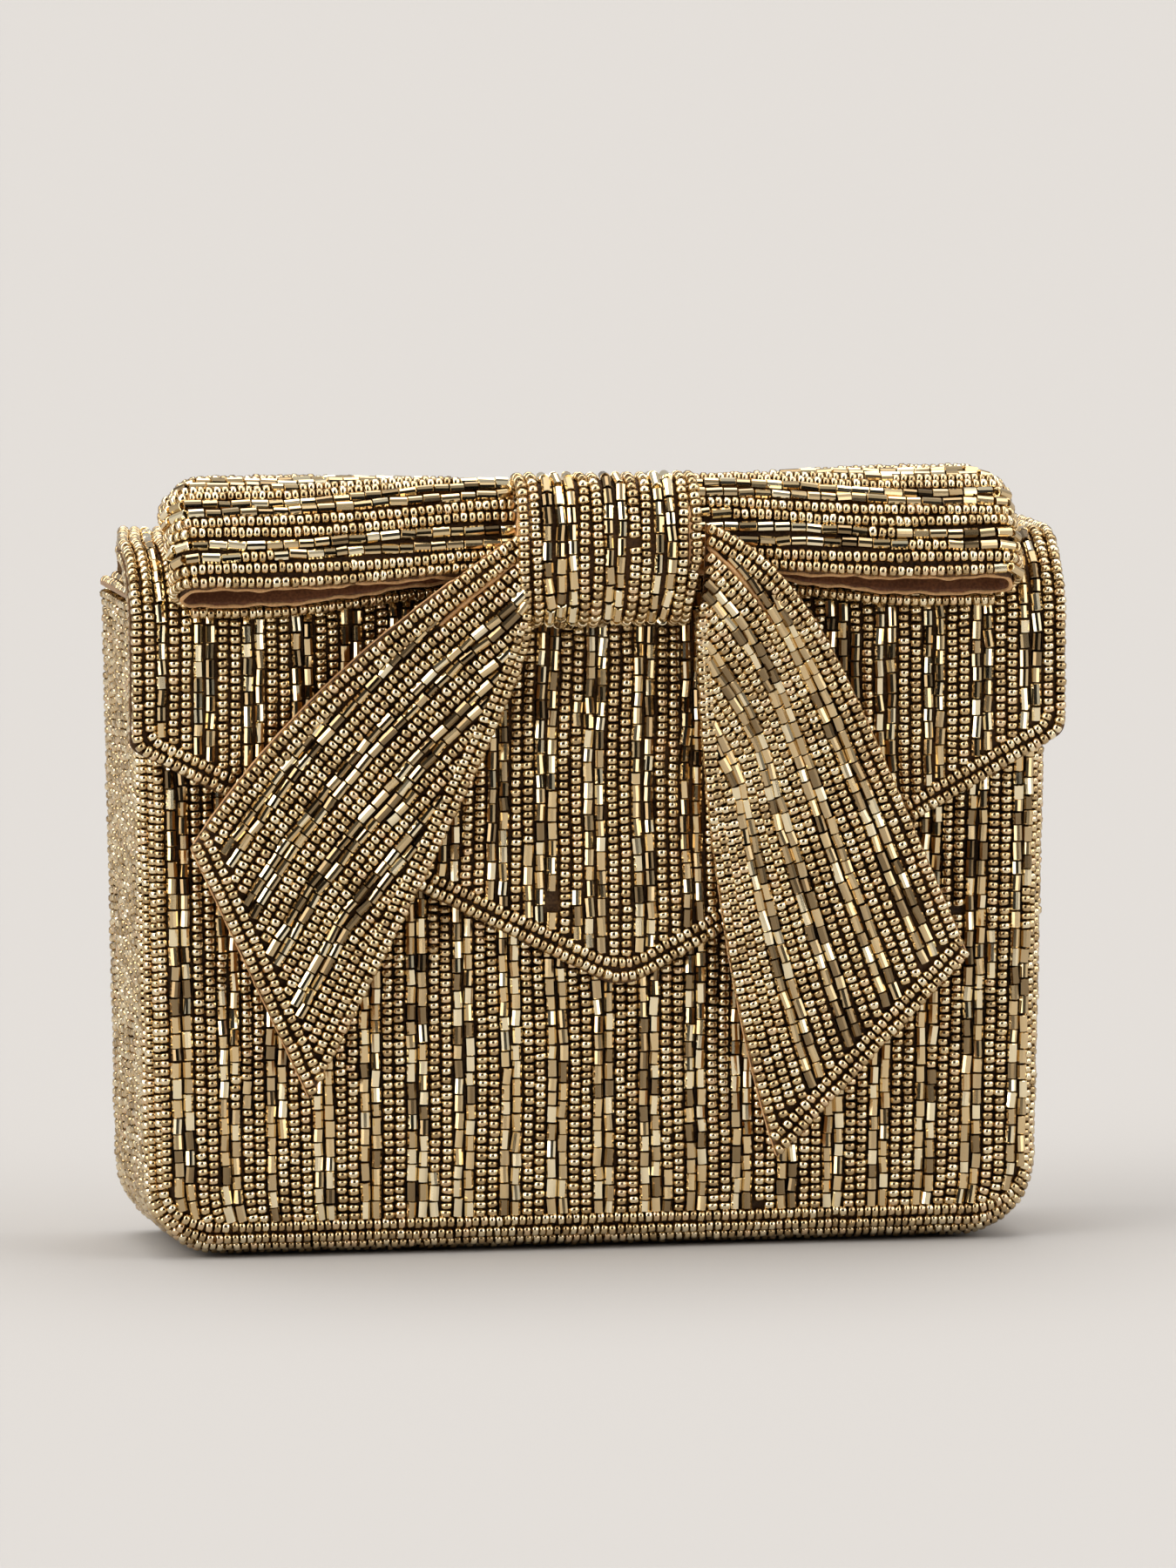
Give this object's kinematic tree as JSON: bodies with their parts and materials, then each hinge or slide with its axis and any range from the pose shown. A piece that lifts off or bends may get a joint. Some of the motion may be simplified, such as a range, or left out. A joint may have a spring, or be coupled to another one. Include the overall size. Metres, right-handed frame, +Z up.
{
  "type": "evening bag",
  "caption": "Flat-based evening bag with beaded panels, a V-shaped flap that opens about its back edge, and a beaded bow with two hanging tails.",
  "frame": {"origin": "on the floor, midway between the body's sides and midway between its front and back panels", "axes": "+Z up, +X to the right as seen from the front, the flap's front and the bow face -Y"},
  "size_m": [0.1704, 0.062, 0.141],
  "materials": {
    "gold_beads": "polished gold seed and bugle beads",
    "backing_cloth": "plain brown weave",
    "board": "stiff grey-brown board",
    "lining_satin": "tan satin",
    "bow_satin": "pink-brown satin",
    "snap_metal": "polished",
    "magnet": "dark grey, satin"
  },
  "bodies": {
    "bag": {"front_beads": "gold_beads", "back_beads": "gold_beads", "left_gusset_beads": "gold_beads", "base_gusset_beads": "gold_beads", "right_gusset_beads": "gold_beads", "front_fabric": "backing_cloth", "back_fabric": "backing_cloth", "gusset_fabric": "backing_cloth", "front_board": "board", "back_board": "board", "gusset_board": "board", "front_lining": "lining_satin", "back_lining": "lining_satin", "gusset_lining": "lining_satin", "front_binding": "lining_satin", "left_binding": "lining_satin", "right_binding": "lining_satin", "snap_socket": "snap_metal", "snap_magnet": "magnet", "snap_socket_washer": "snap_metal"},
    "flap": {"flap_beads": "gold_beads", "flap_edge_beads": "gold_beads", "flap_fabric": "backing_cloth", "flap_board": "board", "flap_lining": "lining_satin", "snap_stud": "snap_metal", "snap_stud_washer": "snap_metal", "knot_beads": "gold_beads", "knot_fabric": "backing_cloth", "knot_core": "bow_satin", "left_loop_beads": "gold_beads", "left_loop_lining": "bow_satin", "right_loop_beads": "gold_beads", "right_loop_lining": "bow_satin"},
    "left_tail": {"left_tail_beads": "gold_beads", "left_tail_edging": "gold_beads", "left_tail_lining": "bow_satin"},
    "right_tail": {"right_tail_beads": "gold_beads", "right_tail_edging": "gold_beads", "right_tail_lining": "bow_satin"}
  },
  "joints": [
    {"name": "flap_hinge", "type": "hinge", "parent": "bag", "child": "flap", "pos_m": [0, 0.022, 0.1185], "axis": [-1, 0, 0], "range_deg": [0, 120]},
    {"name": "left_tail_lift", "type": "hinge", "parent": "flap", "child": "left_tail", "pos_m": [-0.025, -0.0276, 0.1135], "axis": [-1, 0, 0], "range_deg": [0, 60]},
    {"name": "right_tail_lift", "type": "hinge", "parent": "flap", "child": "right_tail", "pos_m": [0.024, -0.0276, 0.1135], "axis": [-1, 0, 0], "range_deg": [0, 60]}
  ]
}
